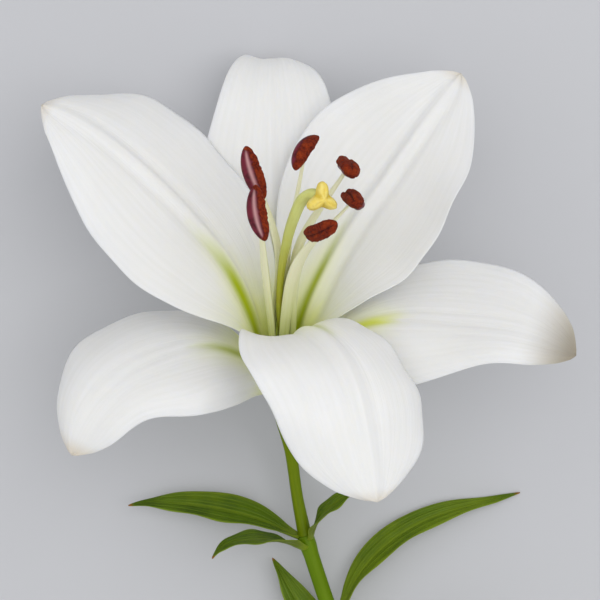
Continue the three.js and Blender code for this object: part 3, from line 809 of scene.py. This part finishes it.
def tepalRelief(tepal, u, share, half):        # height on the inner face, in mm
    d = abs(u) * half
    narrow = min(1, half / whorls["narrowHalf"])
    body = fade(share, 0.1, 0.3) * (1 - 0.7 * fade(share, 0.65, 1.0))
    rib = tepal["ribHeight"] * hump(d, tepal["ribWidth"] * narrow + 0.1)
    grooves = tepal["grooveDepth"] * hump(d - tepal["grooveAt"] * narrow, tepal["grooveWidth"] * narrow + 0.1)
    side = 1 if u > 0 else -1
    phase = tepal["seed"] + 1.7 * side
    wave = 2 * math.pi * tepal["waves"] * share
    curl = math.sin(wave + phase) + 0.5 * math.sin(2.3 * wave + 2 * phase)
    edge = tepal["ruffle"] * abs(u) ** 3 * curl * fade(share, 0.3, 0.5) * (1 - fade(share, 0.92, 1.0))
    swell = whorls["swell"] * noise.noise(Vector((1.4 * u, 4.5 * share, tepal["seed"]))) * fade(share, 0.2, 0.4)
    rolled = ramp(tepal.get("rolled", straight), share) * fade(u, 0.6, 1.0) ** 2        # the left margin turned down
    return tepal["crease"] * body * (rib - grooves) + edge + swell - rolled


def tepalWall(u, share):
    thick = whorls["wall"] * (1 - whorls["tipThinning"] * fade(share, 0.3, 1.0))
    return thick * (0.35 + 0.65 * (1 - abs(u) ** 4)) * (1 - 0.7 * abs(u) ** 24)


for tepal in tepals:
    tepal.update(length=whorls["length"] * tepal["share"], columns=whorls["columns"], rows=whorls["rows"],
                 height=fit, roll=straight, heel=0)
    finishPiece(growBlade(tepal, tepalRelief, tepalWall), tepal["node"], flowerPlace, [tepal["skin"]])
print("tepals grown:", len(tepals))

# The receptacle is turned from half its outline: shares of its radius and of its depth
receptacle = {"depth": 5, "lip": 0.2, "steps": 48, "rounding": 0.25, "outline": [
    (0, 1), (0.38, 1), (0.56, 0.8), (0.74, 0.58), (0.9, 0.34), (1, 0.12), (0.96, 0), (0, 0)]}
receptacleRadius = outerRing + receptacle["lip"]
bm = bmesh.new()
rim = [bm.verts.new((r * receptacleRadius, 0, -z * receptacle["depth"])) for r, z in receptacle["outline"]]
edges = [bm.edges.new(pair) for pair in zip(rim, rim[1:])]
bmesh.ops.spin(bm, geom=rim + edges, cent=(0, 0, 0), axis=(0, 0, 1), angle=2 * math.pi,
               steps=receptacle["steps"], use_merge=True)
bmesh.ops.remove_doubles(bm, verts=bm.verts[:], dist=0.0001)
sharp = [edge for edge in bm.edges if edge.calc_face_angle(0) > 0.3]
bmesh.ops.bevel(bm, geom=sharp, offset=receptacle["rounding"], offset_type="OFFSET", segments=3, profile=0.5,
                affect="EDGES", material=-1)
finishPiece(bm, "receptacle", flowerPlace, [pedicelSkin])
print("receptacle turned")


def cutSkin(look):        # the pale cut face, with the ends of the stem's strands
    material, tree, shader = newSkin(look)
    here = objectPlace(tree)
    strands = addNode(tree, "TexVoronoi", {"Vector": here, "Scale": look["strandScale"]}).outputs[0]
    dots = minus(tree, 1.0, slide(tree, strands, 0.12, 0.32))
    damp = blotches(tree, here, look["dampScale"], 0.3, 0.7)
    colour = blendColour(tree, damp, look["pith"], look["dampPith"])
    colour = blendColour(tree, dots, colour, look["strand"])
    dress(tree, shader, colour, dots, look)
    return material


cutLook = {
    "name": "cutSkin", "roughness": 0.6, "gloss": 0.3, "flesh": 0.2, "strandScale": 1300.0, "dampScale": 500.0,
    "pith": paint(206, 214, 158), "dampPith": paint(184, 196, 126), "strand": paint(136, 156, 66),
    "relief": 0.5, "reliefDepth": 0.0001
}
# leafBelow is how far below the upper node each leaf leaves the stem
stem = {
    "radius": 2.5, "widths": [1, 1, 1, 1.05, 1.1, 1.1], "sides": 40, "rings": 220, "domeStart": 1.2,
    "bends": [(7.5, 19, -49), (14, 20.5, -69), (22, 22, -92), (30, 25.5, -122), (36, 31, -158), (39, 38, -196)],
    "leafBelow": [0.5, 4.5, 2, 30, 46.5, 64.5, 78.5, 96.5], "knuckle": 0.09, "knuckleLength": 2.2,
    "tallestKnuckle": 0.14, "ribs": 0.012, "cutRim": 0.25, "cutHollow": 0.05,
}
stemRun = smoothRun(stem["bends"])


def stemSwell(angle, share):        # a slight knuckle where each leaf leaves it, and faint ribs
    reach = share * stemRun[1][-1]
    knuckle = sum(stem["knuckle"] * hump(reach - below, stem["knuckleLength"]) for below in stem["leafBelow"][1:])
    return 1 + stem["ribs"] * math.cos(7 * angle + 2 * share) + min(knuckle, stem["tallestKnuckle"])


bm = growRod(stemRun, {**stem, "swell": stemSwell})
shareLayer = bm.verts.layers.float["share"]
cutFace = next(f for f in bm.faces if len(f.verts) > 4 and all(corner[shareLayer] > 0.99 for corner in f.verts))
bmesh.ops.inset_region(bm, faces=[cutFace], thickness=stem["cutRim"], depth=-stem["cutHollow"])
cutFace.material_index = 1
finishPiece(bm, "stem", plantPlace, [stemSkin, cutSkin(cutLook)])

# The pedicel runs from just inside the stem's top to just inside the receptacle, and straightens at its neck
pedicel = {"radius": 1.9, "neckLength": 7, "widths": [1.2, 1, 1, 1, 1.1], "sides": 36, "rings": 110,
           "bends": [(5.2, 18.4, -37), (3, 15.5, -22)], "footInside": 0.6, "headInside": 0.3,
           "swell": lambda angle, share: 1 + 0.01 * math.cos(6 * angle)}
flowerAxis = flowerTurn @ Vector((0, 0, 1))
neck = -flowerAxis * (receptacle["depth"] + pedicel["neckLength"])
head = -flowerAxis * (receptacle["depth"] - pedicel["headInside"])
foot = Vector(stem["bends"][0]) + alongRun(stemRun, 0)[1] * pedicel["footInside"]
pedicelRun = smoothRun([foot, *pedicel["bends"], neck, head])
finishPiece(growRod(pedicelRun, pedicel), "pedicel", plantPlace, [pedicelSkin])
print("stem grown")


def leafSkin(look):
    material, tree, shader = newSkin(look)
    blade = readVector(tree, "blade")
    distance = readValue(tree, "ribDistance")
    u, along, side = splitVector(tree, blade)[0:3]
    here = objectPlace(tree)
    blotch = blotches(tree, here, look["blotchScale"], 0.4, 0.68)
    patch = blotches(tree, here, look["patchScale"], 0.45, 0.7)
    colour = blendColour(tree, blotch, look["green"], look["deep"])
    colour = tint(tree, colour, patch, look["patchShare"], look["fresh"])
    vein = veinLines(tree, blade, 5.0, 0.5, 7.0)
    fineVein = veinLines(tree, blade, 17.0, 0.8, 4.0)
    colour = tint(tree, colour, vein, look["veinShare"], look["vein"])
    colour = tint(tree, colour, fineVein, look["fineVeinShare"], look["vein"])
    rib = ribLine(tree, distance, 0.0, along, look["ribWidth"], 0.5, 1.0)
    colour = tint(tree, colour, rib, look["ribShare"], look["vein"])
    colour = tint(tree, colour, minus(tree, 1.0, side), look["underShare"], look["under"])
    edge = slide(tree, maths(tree, "ABSOLUTE", u), look["edgeFrom"], 1.0)
    colour = tint(tree, colour, edge, look["edgeShare"], look["edge"])
    colour = blendColour(tree, slide(tree, along, look["paleFoot"], 0.0), colour, look["edge"])
    ragged = plus(tree, along, times(tree, blotch, look["raggedReach"]))
    browned = slide(tree, ragged, look["tipFrom"], look["tipFrom"] + look["tipBlend"])
    colour = blendColour(tree, browned, colour, look["tip"])
    addDulling(tree, shader, blotch, look, 0.0, 0.14)
    skin = times(tree, grainHeight(tree, here, look["grainScale"], 1.0), look["grainHeight"])
    sunk = plus(tree, times(tree, vein, look["veinDepth"]), times(tree, fineVein, look["fineVeinDepth"]))
    dress(tree, shader, colour, minus(tree, skin, sunk), look)
    return material


leafLook = {
    "name": "leafSkin", "green": paint(76, 104, 0), "deep": paint(54, 82, 0), "fresh": paint(108, 130, 6),
    "vein": paint(122, 142, 30), "under": paint(112, 124, 50), "edge": paint(128, 148, 34),
    "tip": paint(146, 96, 36), "tipFrom": 0.972, "tipBlend": 0.03, "raggedReach": 0.015, "edgeFrom": 0.86,
    "paleFoot": 0.12, "blotchScale": 70.0, "patchScale": 30.0, "patchShare": 0.8, "veinShare": 0.4,
    "fineVeinShare": 0.18, "ribWidth": 0.9, "ribShare": 0.5, "underShare": 0.75, "edgeShare": 0.6,
    "roughness": 0.38, "gloss": 0.18, "flesh": 0.08, "grainScale": 1800.0, "grainHeight": 0.12,
    "veinDepth": 0.5, "fineVeinDepth": 0.3, "relief": 0.55, "reliefDepth": 0.0003,
}
leafShape = {
    "length": 76, "width": 13, "wall": 0.7, "tipFrom": 0.98, "heel": 1.5, "height": 0, "columns": 28, "rows": 110,
    "outline": [0.3, 0.62, 0.9, 1, 0.95, 0.8, 0.58, 0.31, 0.05], "fullLeft": [1, 1], "fullRight": [1, 1],
    "cupLeft": [40, 35, 25, 15, 10], "cupRight": [40, 35, 25, 15, 10], "swerve": straight,
    "groove": 0.35, "grooveWidth": 0.7, "pleats": 0.1, "ruffle": 0.35, "footThicker": 1.2, "tipThinning": 0.3,
}
leaves = [
    {"node": "leaf_long_left", "azimuth": 176, "share": 0.75, "size": 0.95,
     "lean": [34, 54, 62, 70, 84], "roll": [-15, -35, -42, -42, -40]},
    {"node": "leaf_front_left", "azimuth": 230, "share": 0.49, "size": 0.9,
     "lean": [42, 61, 71, 84, 128], "swerve": [0, -10, -16, -20, -20], "roll": [0, -14, -24, -24, -10]},
    {"node": "leaf_small_right", "azimuth": -52, "share": 0.34, "size": 0.65,
     "lean": [24, 50, 64, 74, 86], "swerve": [0, 22, 40, 46, 48], "roll": [10, 20, 30, 40, 40]},
    {"node": "leaf_big_right", "azimuth": 5, "share": 1, "size": 0.8,
     "lean": [28, 60, 81, 96, 96], "roll": [20, 42, 46, 46, 44]},
    {"node": "leaf_lower_left", "azimuth": 158, "share": 0.56, "size": 0.9,
     "lean": [15, 16, 16, 15, 16], "roll": [-20, -35, -40, -40, -40]},
    {"node": "leaf_lower_right", "azimuth": -30, "share": 0.9,
     "lean": [25, 45, 62, 78, 98], "roll": [10, 20, 25, 30, 30]},
    {"node": "leaf_low_left", "azimuth": 184, "share": 1,
     "lean": [25, 48, 64, 76, 90], "swerve": [0, -6, -12, -22, -34], "roll": [-10, -25, -35, -40, -40]},
    {"node": "leaf_lowest", "azimuth": -70, "share": 0.8,
     "lean": [20, 35, 50, 68, 86], "swerve": [0, 10, 20, 30, 40], "roll": [0, 10, 15, 20, 20]},
]


def leafRelief(leaf, u, share, half):        # height on the upper face, in mm
    body = fade(share, 0.02, 0.2) * (1 - fade(share, 0.85, 1.0))
    groove = leafShape["groove"] * hump(abs(u) * half, leafShape["grooveWidth"])
    pleats = leafShape["pleats"] * math.cos(2 * math.pi * 2.5 * abs(u))
    phase = leaf["azimuth"] + (2 if u > 0 else 0)
    edge = leafShape["ruffle"] * abs(u) ** 3 * math.sin(20 * share + phase)
    return body * (pleats - groove + edge)


def leafWall(u, share):
    foot = leafShape["footThicker"] * max(0.0, 1 - share / 0.12) ** 2
    thick = leafShape["wall"] * (1 + foot) * (1 - leafShape["tipThinning"] * share)
    return thick * (0.4 + 0.6 * (1 - abs(u) ** 3)) * (1 - 0.6 * abs(u) ** 20)


greenSkin = leafSkin(leafLook)
for leaf, below in zip(leaves, stem["leafBelow"]):
    spot, downStem = alongRun(stemRun, below / stemRun[1][-1])
    socket = Vector((0, 0, 1)).rotation_difference(-downStem).to_matrix().to_4x4()
    blade = {**leafShape, **leaf, "length": leafShape["length"] * leaf["share"],
             "width": leafShape["width"] * leaf.get("size", 1), "radius": stem["radius"] + leafShape["wall"] + fit}
    leafPlace = plantPlace @ Matrix.Translation(spot) @ socket
    finishPiece(growBlade(blade, leafRelief, leafWall), leaf["node"], leafPlace, [greenSkin])
print("leaves grown:", len(leaves))


def floorSkin(look):
    material, tree, shader = newSkin(look)
    soft = blotches(tree, objectPlace(tree), look["blotchScale"], 0.3, 0.7)
    tree.links.new(blendColour(tree, soft, look["pale"], look["shade"]), shader.inputs["Base Color"])
    return material


table = {"name": "floorSkin", "roughness": 0.9, "gloss": 0.1, "blotchScale": 2.0,
         "pale": paint(192, 193, 197), "shade": paint(194, 195, 198), "reach": 4.0, "below": 0.0002}
bm = bmesh.new()
bmesh.ops.create_grid(bm, x_segments=4, y_segments=4, size=table["reach"])
floorMesh = bpy.data.meshes.new("floor")
bm.to_mesh(floorMesh)
bm.free()
floorMesh.materials.append(floorSkin(table))
floor = bpy.data.objects.new("floor", floorMesh)
floor.location.z = min(0.0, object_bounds()[0].z) - table["below"]
scene.collection.objects.link(floor)
